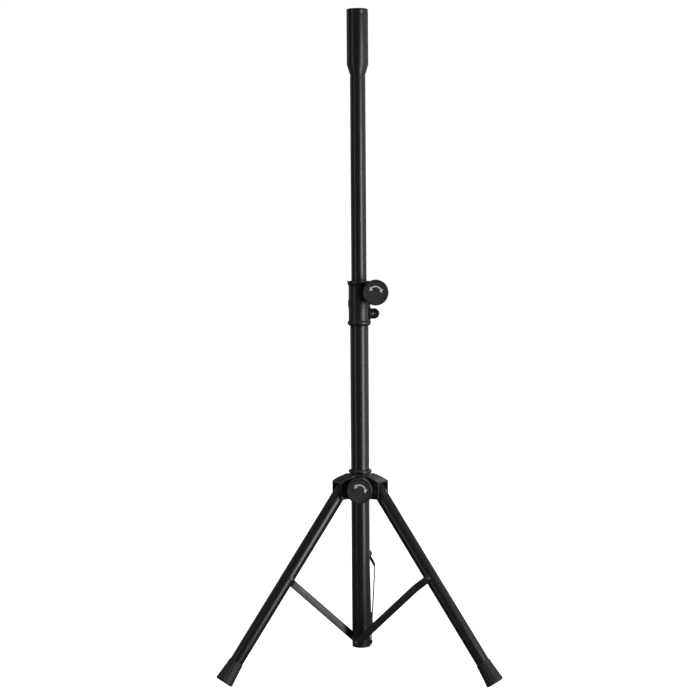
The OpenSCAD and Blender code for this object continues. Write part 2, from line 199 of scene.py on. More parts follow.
def finish_mesh(name, bm, place=Matrix.Identity(4), sharp=SMOOTH_ANGLE):
    """Turns a bmesh into a smooth-shaded object, its place in its vertices."""
    bmesh.ops.recalc_face_normals(bm, faces=bm.faces)
    mesh = bpy.data.meshes.new(name)
    bm.to_mesh(mesh)
    bm.free()
    mesh.transform(place)
    mesh.shade_smooth()
    mesh.set_sharp_from_angle(angle=sharp)
    piece = bpy.data.objects.new(name, mesh)
    bpy.context.scene.collection.objects.link(piece)
    return piece


def turned(name, outline, place=Matrix.Identity(4), steps=96, shape=None):
    """A turned piece about +Z from a closed outline of (radius, height) points.
    shape(radius, height, angle) may change the radius, as flutes and grips do."""
    bm = bmesh.new()
    rings = []
    for radius, height in outline:
        if radius < 1e-7:
            rings.append([bm.verts.new((0, 0, height))])
            continue
        ring = []
        for k in range(steps):
            angle = 2 * pi * k / steps
            reach = shape(radius, height, angle) if shape else radius
            ring.append(bm.verts.new((reach * cos(angle), reach * sin(angle), height)))
        rings.append(ring)
    for first, second in zip(rings, rings[1:] + rings[:1]):
        if len(first) == 1 and len(second) == 1:
            continue
        for k in range(steps):
            after = (k + 1) % steps
            corners = [first[k % len(first)], first[after % len(first)],
                       second[after % len(second)], second[k % len(second)]]
            face = [v for i, v in enumerate(corners) if v not in corners[:i]]
            bm.faces.new(face)
    return finish_mesh(name, bm, place)


def tube_outline(outer, inner, base, top, edge=0.3 * MM):
    return soften([(inner, base, edge), (outer, base, edge), (outer, top, edge), (inner, top, edge)])


def dome_outline(radius, height, shank_r, shank_end, rim=0.4 * MM):
    """A domed head above z = 0 with its shank going down to shank_end."""
    ball = (radius ** 2 + height ** 2) / (2 * height)
    span = acos((ball - height) / ball)
    crown = [(ball * sin(span * k / 8), height - ball + ball * cos(span * k / 8)) for k in range(9)]
    crown[-1] = (radius, rim / 2)
    return crown + [(radius - rim / 2, 0), (shank_r, 0), (shank_r, shank_end), (0, shank_end)]


def add_modifier(piece, kind, **settings):
    modifier = piece.modifiers.new(kind.lower(), kind)
    for key, value in settings.items():
        setattr(modifier, key, value)
    return modifier


def apply_modifiers(piece):
    depsgraph = bpy.context.evaluated_depsgraph_get()
    mesh = bpy.data.meshes.new_from_object(piece.evaluated_get(depsgraph))
    piece.modifiers.clear()
    old = piece.data
    piece.data = mesh
    bpy.data.meshes.remove(old)
    mesh.name = piece.name
    return piece


def block(size, centre, place=Matrix.Identity(4)):
    """A plain cuboid, used as raw stock for the moulded pieces."""
    bm = bmesh.new()
    bmesh.ops.create_cube(bm, size=1)
    bm.transform(Matrix.Translation(centre) @ Matrix.Diagonal((*size, 1)))
    return finish_mesh("stock", bm, place)


def rod(radius, start, end, place=Matrix.Identity(4), sides=64):
    """A plain rod along +Z of place, used as raw stock."""
    return turned("stock", [(0, start), (radius, start), (radius, end), (0, end)], place, sides)


def slab(outline, thickness, place):
    """An outline of (x, z) points, drawn out by thickness along Y, centred."""
    bm = bmesh.new()
    faces = []
    for y in (-thickness / 2, thickness / 2):
        faces.append(bm.faces.new([bm.verts.new((x, y, z)) for x, z in outline]))
    front, back = (list(f.verts) for f in faces)
    for i in range(len(front)):
        j = (i + 1) % len(front)
        bm.faces.new([front[i], front[j], back[j], back[i]])
    return finish_mesh("stock", bm, place)


def join_shapes(base, others, operation):
    """Unites the others with base, or cuts them away from it, and removes them."""
    # known weakness: this solver can tear the collar, whose stock has nearly coplanar faces
    for other in others:
        add_modifier(base, "BOOLEAN", object=other, operation=operation, solver="EXACT")
        apply_modifiers(base)
        stock = other.data
        bpy.data.objects.remove(other)
        bpy.data.meshes.remove(stock)
    return base


def mould(piece, name, grain=0.45 * MM, rounds=3):
    """Gives a built-up shape the even, slightly rounded skin of a moulding."""
    add_modifier(piece, "REMESH", mode="VOXEL", voxel_size=grain, use_smooth_shade=True)
    add_modifier(piece, "SMOOTH", factor=0.5, iterations=rounds)
    apply_modifiers(piece)
    piece.name = piece.data.name = name
    return piece


def place_on(piece, body, slot, finish, *nodes):
    """Dresses a finished piece, hangs it on its body and lets it stand for its CAD nodes."""
    piece.data.materials.clear()
    piece.data.materials.append(finish)
    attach(piece, body)
    if nodes:
        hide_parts(*nodes)
    return piece


# ---- finishes ----

def new_group(name, inputs, outputs):
    """A shader node group with named inputs, {name: value}, and outputs, {name: socket kind}."""
    group = bpy.data.node_groups.new(name, "ShaderNodeTree")
    for label, value in inputs.items():
        socket = group.interface.new_socket(label, in_out="INPUT", socket_type="NodeSocketFloat")
        socket.default_value = value
    for label, kind in outputs.items():
        group.interface.new_socket(label, in_out="OUTPUT", socket_type=kind)
    return group, group.nodes.new("NodeGroupInput"), group.nodes.new("NodeGroupOutput")


def add_node(tree, kind, settings=None, **inputs):
    """Adds a node; inputs are numbers, colours or other nodes' sockets, named by their labels."""
    node = tree.nodes.new(kind)
    for key, value in (settings or {}).items():
        setattr(node, key, value)
    for label, value in inputs.items():
        number = label[1:]
        socket = node.inputs[int(number) if number.isdigit() else label.replace("_", " ")]
        if isinstance(value, bpy.types.NodeSocket):
            tree.links.new(value, socket)
        else:
            socket.default_value = value
    return node


def grain_group():
    """Fine surface grain with slow cloudy variation, sized in grains per metre."""
    group, given, result = new_group(
        "surface_grain", {"Grains": 1500.0, "Clouds": 40.0, "Contrast": 0.5},
        {"Height": "NodeSocketFloat", "Cloud": "NodeSocketFloat", "Speckle": "NodeSocketFloat"})
    place = add_node(group, "ShaderNodeTexCoord").outputs["Object"]
    fine = add_node(group, "ShaderNodeTexNoise", Vector=place, Scale=given.outputs["Grains"],
                    Detail=2.0, Roughness=0.6)
    slow = add_node(group, "ShaderNodeTexNoise", Vector=place, Scale=given.outputs["Clouds"],
                    Detail=3.0, Roughness=0.55)
    cell = add_node(group, "ShaderNodeTexVoronoi", Vector=place, Scale=given.outputs["Grains"])
    speck = add_node(group, "ShaderNodeMapRange", Value=cell.outputs["Distance"],
                     From_Min=0.1, From_Max=0.7, To_Min=1.0, To_Max=0.0)
    mixed = add_node(group, "ShaderNodeMix", {"data_type": "FLOAT"},
                     _0=given.outputs["Contrast"], _2=fine.outputs["Fac"], _3=speck.outputs["Result"])
    group.links.new(mixed.outputs[0], result.inputs["Height"])
    group.links.new(slow.outputs["Fac"], result.inputs["Cloud"])
    group.links.new(speck.outputs["Result"], result.inputs["Speckle"])
    return group


def edge_highlight_group():
    """A mask of a painted highlight: a lighter line along outer edges, broken up by noise, standing in for light
    caught on the edges.
    """
    group, given, result = new_group(
        "painted_edge_highlight", {"Start": 0.52, "Full": 0.6, "Breaks": 300.0}, {"Mask": "NodeSocketFloat"})
    point = add_node(group, "ShaderNodeNewGeometry").outputs["Pointiness"]
    line = add_node(group, "ShaderNodeMapRange", Value=point, From_Min=given.outputs["Start"],
                    From_Max=given.outputs["Full"], To_Min=0.0, To_Max=1.0)
    place = add_node(group, "ShaderNodeTexCoord").outputs["Object"]
    noise = add_node(group, "ShaderNodeTexNoise", Vector=place, Scale=given.outputs["Breaks"], Detail=2.0)
    broken = add_node(group, "ShaderNodeMath", {"operation": "MULTIPLY"},
                      _0=line.outputs["Result"], _1=noise.outputs["Fac"])
    group.links.new(broken.outputs["Value"], result.inputs["Mask"])
    return group


def dust_group():
    """A mask of the thin dust that settles on faces turned up."""
    group, given, result = new_group("settled_dust", {"Patches": 60.0}, {"Mask": "NodeSocketFloat"})
    normal = add_node(group, "ShaderNodeNewGeometry").outputs["Normal"]
    up = add_node(group, "ShaderNodeSeparateXYZ", Vector=normal).outputs["Z"]
    facing = add_node(group, "ShaderNodeMapRange", Value=up, From_Min=0.3, From_Max=1.0,
                      To_Min=0.0, To_Max=1.0)
    place = add_node(group, "ShaderNodeTexCoord").outputs["Object"]
    noise = add_node(group, "ShaderNodeTexNoise", Vector=place, Scale=given.outputs["Patches"], Detail=5.0)
    mask = add_node(group, "ShaderNodeMath", {"operation": "MULTIPLY"},
                    _0=facing.outputs["Result"], _1=noise.outputs["Fac"])
    group.links.new(mask.outputs["Value"], result.inputs["Mask"])
    return group


GRAIN, EDGE_HIGHLIGHT, DUST = grain_group(), edge_highlight_group(), dust_group()


def finish(name, dark, light, rough, grains, bump, metallic=0.0, speckle=0.0, contrast=0.5,
           edge=0.0, dust=0.0, clouds=40.0, **fixed):
    """A finish whose colour runs from dark to light over the clouds, with grain in its surface.
    rough is its (least, most) roughness and bump the depth of the grain in metres."""
    material = bpy.data.materials.new(name)
    material.use_nodes = True
    tree = material.node_tree
    shader = tree.nodes["Principled BSDF"]
    grain = add_node(tree, "ShaderNodeGroup", {"node_tree": GRAIN},
                     Grains=grains, Clouds=clouds, Contrast=contrast)
    colour = add_node(tree, "ShaderNodeMix", {"data_type": "RGBA"}, _0=grain.outputs["Cloud"],
                      _6=(*dark, 1), _7=(*light, 1)).outputs[2]

    def tint(colour, mask, share, shade):
        amount = add_node(tree, "ShaderNodeMath", {"operation": "MULTIPLY"}, _0=mask, _1=share)
        return add_node(tree, "ShaderNodeMix", {"data_type": "RGBA"}, _0=amount.outputs["Value"],
                        _6=colour, _7=(*shade, 1)).outputs[2]

    if speckle:
        colour = tint(colour, grain.outputs["Speckle"], speckle, [min(1, 3 * c) for c in light])
    # edge paints a highlight: a lighter line along outer edges where light would catch them, not wear
    if edge:
        mask = add_node(tree, "ShaderNodeGroup", {"node_tree": EDGE_HIGHLIGHT}).outputs["Mask"]
        colour = tint(colour, mask, edge, [min(1, 4 * c) for c in light])
    if dust:
        mask = add_node(tree, "ShaderNodeGroup", {"node_tree": DUST}).outputs["Mask"]
        colour = tint(colour, mask, dust, (0.30, 0.29, 0.28))
    tree.links.new(colour, shader.inputs["Base Color"])
    roughness = add_node(tree, "ShaderNodeMapRange", Value=grain.outputs["Cloud"], From_Min=0.3,
                         From_Max=0.7, To_Min=rough[0], To_Max=rough[1])
    tree.links.new(roughness.outputs["Result"], shader.inputs["Roughness"])
    relief = add_node(tree, "ShaderNodeBump", Strength=1.0, Distance=bump,
                      Height=grain.outputs["Height"])
    tree.links.new(relief.outputs["Normal"], shader.inputs["Normal"])
    shader.inputs["Metallic"].default_value = metallic
    for label, value in fixed.items():
        shader.inputs[label.replace("_", " ")].default_value = value
    return material


def grey(value, warmth=0.0):
    return (value * (1 + warmth), value, value * (1 - warmth))


# edge= sets the share of the painted edge highlight in each finish
powder_coat = finish("powder_coat", grey(0.006), grey(0.010), (0.30, 0.37), 1300, 0.03 * MM,
                     contrast=0.35, edge=0.15, dust=0.02)
strap_coat = finish("strap_coat", grey(0.005), grey(0.009), (0.37, 0.44), 1300, 0.03 * MM,
                    contrast=0.35, edge=0.15, dust=0.02)
moulded = finish("moulded_black", grey(0.008), grey(0.012), (0.34, 0.42), 1500, 0.05 * MM,
                 edge=0.2, dust=0.09)
knob_plastic = finish("knob_black", grey(0.014), grey(0.022), (0.36, 0.44), 1100, 0.05 * MM,
                      contrast=0.8, edge=0.3)
knob_grain = finish("knob_grain", grey(0.010), grey(0.022), (0.50, 0.62), 520, 0.35 * MM,
                    speckle=0.3, contrast=0.8, clouds=220.0)
foot_rubber = finish("foot_rubber", grey(0.009), grey(0.015), (0.55, 0.66), 1100, 0.06 * MM,
                     edge=0.15, dust=0.05, speckle=0.08)
rivet_black = finish("rivet_black", grey(0.10), grey(0.16), (0.30, 0.40), 1800, 0.01 * MM,
                     metallic=0.9, edge=0.2)
bolt_black = finish("bolt_black", grey(0.012), grey(0.02), (0.36, 0.44), 1800, 0.01 * MM, metallic=0.2)
zinc_steel = finish("zinc_steel", grey(0.45), grey(0.58), (0.24, 0.36), 900, 0.01 * MM, metallic=1.0)
acetal = finish("acetal", grey(0.55, 0.04), grey(0.66, 0.03), (0.38, 0.5), 700, 0.01 * MM)
brass = finish("brass_insert", (0.55, 0.38, 0.13), (0.66, 0.47, 0.18), (0.25, 0.4), 800, 0.01 * MM,
               metallic=1.0)
pale_print = finish("pale_print", grey(0.60), grey(0.72), (0.5, 0.6), 1400, 0.01 * MM)


# ---- mast ----

def make_tubes():
    base, top = height_of("mast_lower")
    lower = turned("lower_tube", tube_outline(lower_r, lower_r - mast_wall, base, top))
    place_on(lower, "mast", "powder_coat", powder_coat, "mast_lower")
    base, top = height_of("mast_upper")
    upper = turned("upper_tube", tube_outline(upper_r, upper_r - mast_wall, base, top))
    place_on(upper, "upper_mast", "powder_coat", powder_coat, "mast_upper")


def make_pole_adapter():
    """The swaged sleeve: a short neck on the tube, a tapered shoulder, the 35 mm pole."""
    base, top = height_of("pole_adapter")
    shoulder = base + 15 * MM
    neck_r = upper_r + 0.9 * MM
    bore_r = upper_r + 0.02 * MM
    sleeve = turned("pole_sleeve", soften([
        (bore_r, base + 1 * MM), (neck_r, base + 1 * MM, 0.4 * MM), (neck_r, base + 2 * MM, 1 * MM),
        (pole_r, shoulder + 0.8 * MM, 2 * MM),
        (pole_r, top, 0.35 * MM), (pole_r - 3 * MM, top), (pole_r - 3 * MM, shoulder + 47 * MM),
        (bore_r, shoulder + 47 * MM)], steps=6))
    place_on(sleeve, "upper_mast", "powder_coat", powder_coat, "pole_adapter")
    base, top = height_of("pole_cap")
    rim_z = top - 8 * MM
    spigot_r = pole_r - 3.06 * MM
    cap = turned("pole_cap_plug", soften([
        (0, base), (spigot_r, base, 0.5 * MM), (spigot_r, rim_z + 0.02 * MM),
        (pole_r, rim_z + 0.02 * MM, 0.35 * MM), (pole_r, top, 2 * MM),
        (pole_r - 4.5 * MM, top, 1.5 * MM), (pole_r - 6 * MM, top - 0.6 * MM, 1.5 * MM),
        (0, top - 0.6 * MM)], closed=False, steps=6))
    place_on(cap, "upper_mast", "powder_coat", powder_coat, "pole_cap")


def make_mast_foot():
    base, top = height_of("mast_foot")
    plug_r = lower_r - mast_wall - 0.02 * MM
    seam = base + 2.2 * MM
    plug = turned("mast_foot_plug", soften([
        (0, base + 0.8 * MM), (8 * MM, base + 0.8 * MM, 1 * MM), (9 * MM, base, 0.6 * MM),
        (lower_r, base, 2 * MM), (lower_r, seam, 0.25 * MM), (plug_r, seam),
        (plug_r, top, 0.5 * MM), (plug_r - 3 * MM, top), (plug_r - 3 * MM, rivet_z + 8 * MM),
        (0, rivet_z + 8 * MM)], closed=False, steps=6))
    place_on(plug, "mast", "moulded_black", moulded, "mast_foot")
    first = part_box("foot_rivets")[1].x
    for n in LEGS:
        head = leg_frame(n) @ Matrix.Translation((0, -first + 1.6 * MM, rivet_z)) @ TO_BRACE_SIDE
        rivet = turned(f"foot_rivet_head_{n}",
                       dome_outline(4.2 * MM, 1.6 * MM, 2.5 * MM, -10 * MM), head, 48)
        place_on(rivet, "mast", "rivet_black", rivet_black, *(["foot_rivets"] if n == 1 else []))


# ---- legs and feet ----

def make_leg(n):
    axis = leg_axis(n)
    leg_len = foot_end()
    tube = turned(f"leg_tube_{n}",
                  tube_outline(leg_r, leg_r - 1.5 * MM, 6.1 * MM - leg_len, 7.5 * MM), axis)
    place_on(tube, f"leg_{n}", "powder_coat", powder_coat, f"leg_{n}")
    plug = turned(f"leg_end_plug_{n}", soften([
        (0, 9 * MM), (leg_r, 9 * MM, 0.7 * MM), (leg_r, 7.55 * MM, 0.2 * MM),
        (leg_r - 1.52 * MM, 7.55 * MM), (leg_r - 1.52 * MM, 4 * MM), (0, 4 * MM)], closed=False), axis)
    place_on(plug, f"leg_{n}", "moulded_black", moulded, f"leg_plug_{n}")
    tail_place = axis @ Matrix.Translation((0, leg_r, -brace_at)) @ TO_FAR_SIDE
    tail = turned(f"rivet_tail_{n}", soften([
        (0, -3.5 * MM), (1.5 * MM, -3.5 * MM, 0.3 * MM), (1.5 * MM, 0.9 * MM, 0.3 * MM),
        (2.6 * MM, 1.35 * MM, 0.9 * MM), (4 * MM, 0.5 * MM, 0.4 * MM), (3.9 * MM, -0.6 * MM),
        (2.5 * MM, -0.6 * MM), (2.5 * MM, -2 * leg_r), (0, -2 * leg_r)], closed=False), tail_place, 48)
    place_on(tail, f"leg_{n}", "rivet_black", rivet_black, f"leg_rivet_{n}")


def foot_end():
    """Distance from a leg's pivot to the flat end of its foot, from the foot's rounded rim on the floor."""
    return (pivot_z - foot_rim_height()) / cos(leg_angle)


FOOT_R, FOOT_EDGE, FOOT_H, SKIN = 14.75 * MM, 2.5 * MM, 37 * MM, 0.03 * MM


def foot_rim_height():
    return (FOOT_R - FOOT_EDGE) * sin(leg_angle) + FOOT_EDGE * (1 - cos(leg_angle))


def make_foot(n):
    """A tapered rubber cup with lengthwise flutes between a plain lip and a plain sole."""
    flutes, depth = 12, 0.45 * MM
    lip_r = leg_r + 1.25 * MM
    rise = FOOT_H - FOOT_EDGE

    def fluted(radius, height, angle):
        if radius < leg_r + 0.5 * MM or not 5 * MM < height < FOOT_H - 4.5 * MM:
            return radius
        swell = min(1, (height - 5 * MM) / (2 * MM), (FOOT_H - 4.5 * MM - height) / (2 * MM))
        hollow = max(0, cos(flutes * angle)) ** 0.6
        return radius - depth * swell * hollow

    side = [(FOOT_R - 0.3 * MM - (FOOT_R - 0.3 * MM - lip_r) * k / 24, 5 * MM + (rise - 8 * MM) * k / 24)
            for k in range(25)]
    outline = soften([
        (0, 0.8 * MM), (8.5 * MM, 0.8 * MM, 0.6 * MM), (9.5 * MM, 0, 0.6 * MM),
        (FOOT_R - SKIN, 0, FOOT_EDGE), (FOOT_R - SKIN, 6 * MM)], closed=False, steps=6)[:-1]
    outline += [(FOOT_R - SKIN, 3.6 * MM), (FOOT_R - 0.1 * MM, 4.3 * MM)] + side
    outline += soften([
        side[-1], (lip_r + 0.05 * MM, FOOT_H - 2.6 * MM, 0.5 * MM), (lip_r, FOOT_H, 0.6 * MM),
        (leg_r + 0.02 * MM, FOOT_H, 0.2 * MM), (leg_r + 0.02 * MM, 6 * MM), (0, 6 * MM)], closed=False)[1:]
    place = leg_axis(n) @ Matrix.Translation((0, 0, SKIN - foot_end()))
    foot = turned(f"rubber_foot_{n}", outline, place, 192, fluted)
    place_on(foot, f"leg_{n}", "foot_rubber", foot_rubber, f"foot_{n}")


# ---- braces ----

def make_brace(n):
    """Flat strip with rounded ends and edges: out from the mast's side, then bent in to the leg."""
    wide, thick, edge = brace_w, 1.6 * MM, 0.35 * MM
    at_mast = lower_r + 0.3 * MM + thick / 2
    at_leg = leg_r + 0.3 * MM + thick / 2
    flare = 20.5 * MM
    half = wide / 2
    line = soften([
        (-half, at_mast), (9 * MM, at_mast, 40 * MM), (brace_len - 25 * MM, flare, 9 * MM),
        (brace_len - 8 * MM, at_leg, 7 * MM), (brace_len + half, at_leg)], closed=False, steps=8)
    ends = [half * (1 - cos(pi / 2 * k / 8)) for k in range(9)]
    stations = [-half + e for e in ends] + [p[0] for p in line[1:-1]] + [brace_len + half - e for e in ends]
    stations = sorted(set(round(s, 7) for s in stations))

    def offset(along):
        for first, second in zip(line, line[1:]):
            if along <= second[0]:
                break
        share = (along - first[0]) / (second[0] - first[0])
        return first[1] + (second[1] - first[1]) * share, atan2(second[1] - first[1], second[0] - first[0])

    bm = bmesh.new()
    rings = []
    for along in stations:
        past = max(0, -along, along - brace_len)
        reach = sqrt(max(0, half ** 2 - past ** 2))
        side = max(reach, 0.02 * MM)
        y, tilt = offset(along)
        corner = min(edge, side * 0.6)
        section = soften([(side, thick / 2, corner), (side, -thick / 2, corner),
                          (-side, -thick / 2, corner), (-side, thick / 2, corner)], steps=3)
        rings.append([bm.verts.new((x, -(y + out * cos(tilt)), along - out * sin(tilt)))
                      for x, out in section])
    for first, second in zip(rings, rings[1:]):
        for k in range(len(first)):
            j = (k + 1) % len(first)
            bm.faces.new([first[k], first[j], second[j], second[k]])
    bm.faces.new(rings[0])
    bm.faces.new(rings[-1])
    strip = finish_mesh(f"brace_strip_{n}", bm, brace_axis(n))
    place_on(strip, f"brace_{n}", "powder_coat", strap_coat, f"brace_{n}")
    head = brace_axis(n) @ Matrix.Translation((0, -at_leg - thick / 2, brace_len)) @ TO_BRACE_SIDE
    rivet = turned(f"brace_rivet_head_{n}",
                   dome_outline(4.9 * MM, 2.6 * MM, 2.5 * MM, -thick), head, 48)
    place_on(rivet, f"brace_{n}", "rivet_black", rivet_black, f"brace_rivet_{n}")


# ---- collar ----

def make_collar():
    """The moulded pinch clamp: banded sleeve, split ears, a boss for the knob and a lug for the bolt."""
    base, top = height_of("collar_body")
    knob_at, bolt_at = middle("height_knob"), middle("lug_bolt")
    body_r, band_r, lip_r = 17.2 * MM, 18.2 * MM, 19.1 * MM
    bore_r = lower_r + 0.06 * MM
    sleeve = turned("stock", soften([
        (bore_r, base), (lower_r + 0.9 * MM, base, 0.4 * MM), (lip_r, base + 2.6 * MM, 1 * MM),
        (lip_r, base + 7 * MM, 0.9 * MM), (body_r, base + 7.8 * MM, 0.5 * MM),
        (body_r, top - 46 * MM, 12 * MM), (band_r, top - 40 * MM, 12 * MM),
        (band_r, top - 32.5 * MM, 6 * MM), (body_r, top - 28.5 * MM, 6 * MM),
        (body_r, top - 8 * MM, 3 * MM), (lip_r, top - 4 * MM, 1 * MM), (lip_r, top, 0.8 * MM),
        (upper_r + 0.5 * MM, top, 0.5 * MM), (upper_r + 0.5 * MM, top - 3 * MM),
        (bore_r, top - 3 * MM)]), steps=128)
    root, front, back = lower_r - 2 * MM, -17 * MM, 11 * MM
    boss_r, lug_r, lug_half = 11 * MM, 8.4 * MM, 10 * MM
    at_knob = facing_front(knob_at.x, 0, knob_at.z)
    at_bolt = facing_front(bolt_at.x, 0, bolt_at.z)
    rib = 7.5 * MM
    added = [
        block((18.4 * MM - root, 2 * rib, top - base - 9 * MM),
              ((18.4 * MM + root) / 2, 0, (top + base) / 2 + 3.5 * MM)),
        rod(boss_r, -back, -front, at_knob),
        block((knob_at.x - root, 2 * back, 2 * boss_r), ((knob_at.x + root) / 2, 0, knob_at.z)),
        block((10.5 * MM, 2 * back, top - knob_at.z), (root + 5.25 * MM, 0, (top + knob_at.z) / 2)),
        rod(lug_r, -lug_half, lug_half, at_bolt),
        block((bolt_at.x - root, 2 * lug_half, 2 * lug_r), ((bolt_at.x + root) / 2, 0, bolt_at.z)),
    ]
    ears = join_shapes(added[0], added[1:], "UNION")
    join_shapes(ears, [rod(bore_r + 1 * MM, base - 1 * MM, top + 1 * MM)], "DIFFERENCE")
    collar = join_shapes(sleeve, [ears], "UNION")
    join_shapes(collar, [
        block((40 * MM, 2.5 * MM, top - base + 4 * MM), (lower_r + 16 * MM, 0, (top + base) / 2)),
        rod(4.1 * MM, -30 * MM, 30 * MM, at_knob),
        rod(7.6 * MM, -20 * MM, -(back - 6.5 * MM), at_knob, sides=6),
        rod(2.6 * MM, -30 * MM, 30 * MM, at_bolt),
        turned("stock", [(0, lug_half - 3.6 * MM), (4.6 * MM, lug_half - 3.6 * MM),
                         (4.6 * MM, lug_half - 0.5 * MM), (5.4 * MM, lug_half + 0.2 * MM),
                         (5.4 * MM, 20 * MM), (0, 20 * MM)], at_bolt, 64),
        rod(4.75 * MM, -20 * MM, -(lug_half - 4.2 * MM), at_bolt, sides=6)], "DIFFERENCE")
    mould(collar, "clamp_collar", 0.42 * MM, 4)
    place_on(collar, "mast", "moulded_black", moulded, "collar_body")


# ---- hub ----

def make_hub():
    """The sliding hub: a ringed sleeve, three channel arms for the legs and a boss for its knob."""
    low, top = height_of("hub_body")
    knob_z = middle("hub_knob").z
    base, ring_z = top - 45.7 * MM, top - 5.8 * MM
    core_r, bore_r, lip_bore, fillet = 18.9 * MM, 16.3 * MM, lower_r + 0.3 * MM, 5 * MM
    lip_r = lip_bore + 0.8 * MM
    arm_r, wall, end_top, root = 43.8 * MM, 3 * MM, ring_z - 11.6 * MM, 5 * MM
    ring_r = core_r + 0.3 * MM
    curve = [(lip_r + fillet - fillet * cos(pi / 2 * k / 8), low + fillet * sin(pi / 2 * k / 8))
             for k in range(9)]
    sleeve = turned("stock", [(lip_bore, low)] + curve + soften([
        (core_r + 1.7 * MM, base), (core_r + 1.7 * MM, base + 1.5 * MM),
        (core_r - 0.1 * MM, base + 3 * MM), (core_r - 0.1 * MM, ring_z - 1.7 * MM, 0.4 * MM),
        (core_r - 1.4 * MM, ring_z - 0.9 * MM, 0.4 * MM), (core_r - 1.4 * MM, ring_z + 0.4 * MM, 0.5 * MM),
        (ring_r, ring_z + 1.2 * MM, 1.2 * MM), (ring_r, top - 1.8 * MM, 1.8 * MM),
        (ring_r - 2.2 * MM, top, 0.9 * MM),
        (bore_r, top, 0.3 * MM), (bore_r, base + 1 * MM),
        (lip_bore, base + 1 * MM)], closed=False)[1:], steps=128)
    back_bend = (arm_r - 9.8 * MM, end_top + 4.8 * MM)
    outer = soften([
        (root, base), (arm_r, base, 1.2 * MM), (arm_r, end_top, 1.5 * MM), (*back_bend, 20 * MM),
        (core_r, ring_z - 1.8 * MM, 12 * MM), (root, ring_z - 1.8 * MM)], steps=6)
    inner = soften([
        (core_r + 1 * MM, base - 3 * MM), (arm_r + 3 * MM, base - 3 * MM),
        (arm_r + 3 * MM, end_top - wall - 0.8 * MM), (back_bend[0], back_bend[1] - wall, 10 * MM),
        (core_r + 1 * MM, ring_z - wall - 1.4 * MM, 2 * MM)])
    arms = [slab(outer, arm_w, leg_frame(n)) for n in LEGS]
    at_knob = facing_front(0, 0, knob_z)
    rib_top, corner_r = ring_z - 2 * MM, 7 * MM
    rib = [rod(corner_r, knob_z, rib_top, Matrix.Translation((side * 5 * MM, -17 * MM, 0)))
           for side in (-1, 1)]
    rib.append(block((10 * MM, 12 * MM, rib_top - knob_z),
                     (0, -18 * MM, (rib_top + knob_z) / 2)))
    hub = join_shapes(sleeve, arms + rib + [rod(15 * MM, bore_r + 0.5 * MM, 31 * MM, at_knob)], "UNION")
    cuts = [slab(inner, arm_w - 2 * wall, leg_frame(n)) for n in LEGS]
    cuts += [rod(3.1 * MM, -arm_w, arm_w, leg_frame(n) @ Matrix.Translation((pivot_r, 0, pivot_z))
                 @ TO_BRACE_SIDE, 32) for n in LEGS]
    cuts += [rod(bore_r, base + 1 * MM, top + 1 * MM), rod(lip_bore, low - 1 * MM, top),
             rod(6.1 * MM, 15 * MM, 32 * MM, at_knob)]
    join_shapes(hub, cuts, "DIFFERENCE")
    mould(hub, "sliding_hub", 0.45 * MM, 4)
    place_on(hub, "hub", "moulded_black", moulded, "hub_body")


def make_pivots():
    """Low domed bolt heads and thin lock nuts through the arms; both front arms show a head."""
    seat, turns = arm_w / 2 + 0.05 * MM, {1: 0, 2: 0, 3: pi}
    for n in LEGS:
        axis = (leg_frame(n) @ Matrix.Translation((pivot_r, 0, pivot_z))
                @ Matrix.Rotation(turns[n], 4, "Z"))
        bolt = turned(f"pivot_bolt_{n}", dome_outline(4.4 * MM, 1.6 * MM, 3 * MM, -37 * MM),
                      axis @ Matrix.Translation((0, -seat, 0)) @ TO_BRACE_SIDE, 48)
        place_on(bolt, "hub", "rivet_black", bolt_black, *(["pivot_bolts"] if n == 1 else []))
        nut = make_nut(f"pivot_nut_{n}", 10 * MM, 4 * MM, 3.02 * MM,
                       axis @ Matrix.Translation((0, seat, 0)) @ TO_FAR_SIDE)
        place_on(nut, "hub", "rivet_black", bolt_black, *(["pivot_nuts"] if n == 1 else []))


def make_lug_bolt():
    """A screw with a dished head, deep in the lug's recess."""
    at, (low, high) = middle("lug_bolt"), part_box("lug_bolt")
    tall, dish_r, dish_depth, shank_r = 3 * MM, 4 * MM, 2.6 * MM, 2.5 * MM
    dish = [(dish_r * sin(pi / 2 * k / 10), tall - dish_depth * cos(pi / 2 * k / 10)) for k in range(11)]
    end = low.y - high.y + tall
    outline = dish + [(4.3 * MM, tall), (4.4 * MM, tall - 0.1 * MM), (4.4 * MM, 0), (shank_r, 0),
                      (shank_r, end), (0, end)]
    bolt = turned("lug_screw", outline, facing_front(at.x, low.y + tall, at.z), 72)
    place_on(bolt, "mast", "rivet_black", rivet_black, "lug_bolt")


def make_nut(name, flats, tall, bore, place):
    """A hexagon nut standing on z = 0, its corners turned off at the top and a raised locking ring."""
    corner_r, steps = flats / sqrt(3), 96

    def hexagon(radius, height, angle):
        if radius < bore + 1 * MM:
            return radius
        flat = flats / 2 / cos((angle + pi / 6) % (pi / 3) - pi / 6)
        return min(radius, flat)

    ring_r = flats * 0.36
    outline = soften([
        (bore, 0), (corner_r - 0.4 * MM, 0), (corner_r, 0.3 * MM), (corner_r, tall * 0.66),
        (flats / 2 - 0.1 * MM, tall * 0.8, 0.2 * MM), (ring_r, tall * 0.8, 0.2 * MM),
        (ring_r, tall, 0.4 * MM), (bore, tall, 0.2 * MM)])
    return turned(name, outline, place, steps, hexagon)


# ---- knobs ----

GRIP, FACE, PRINT = 0, 1, 2      # the order of a knob's materials


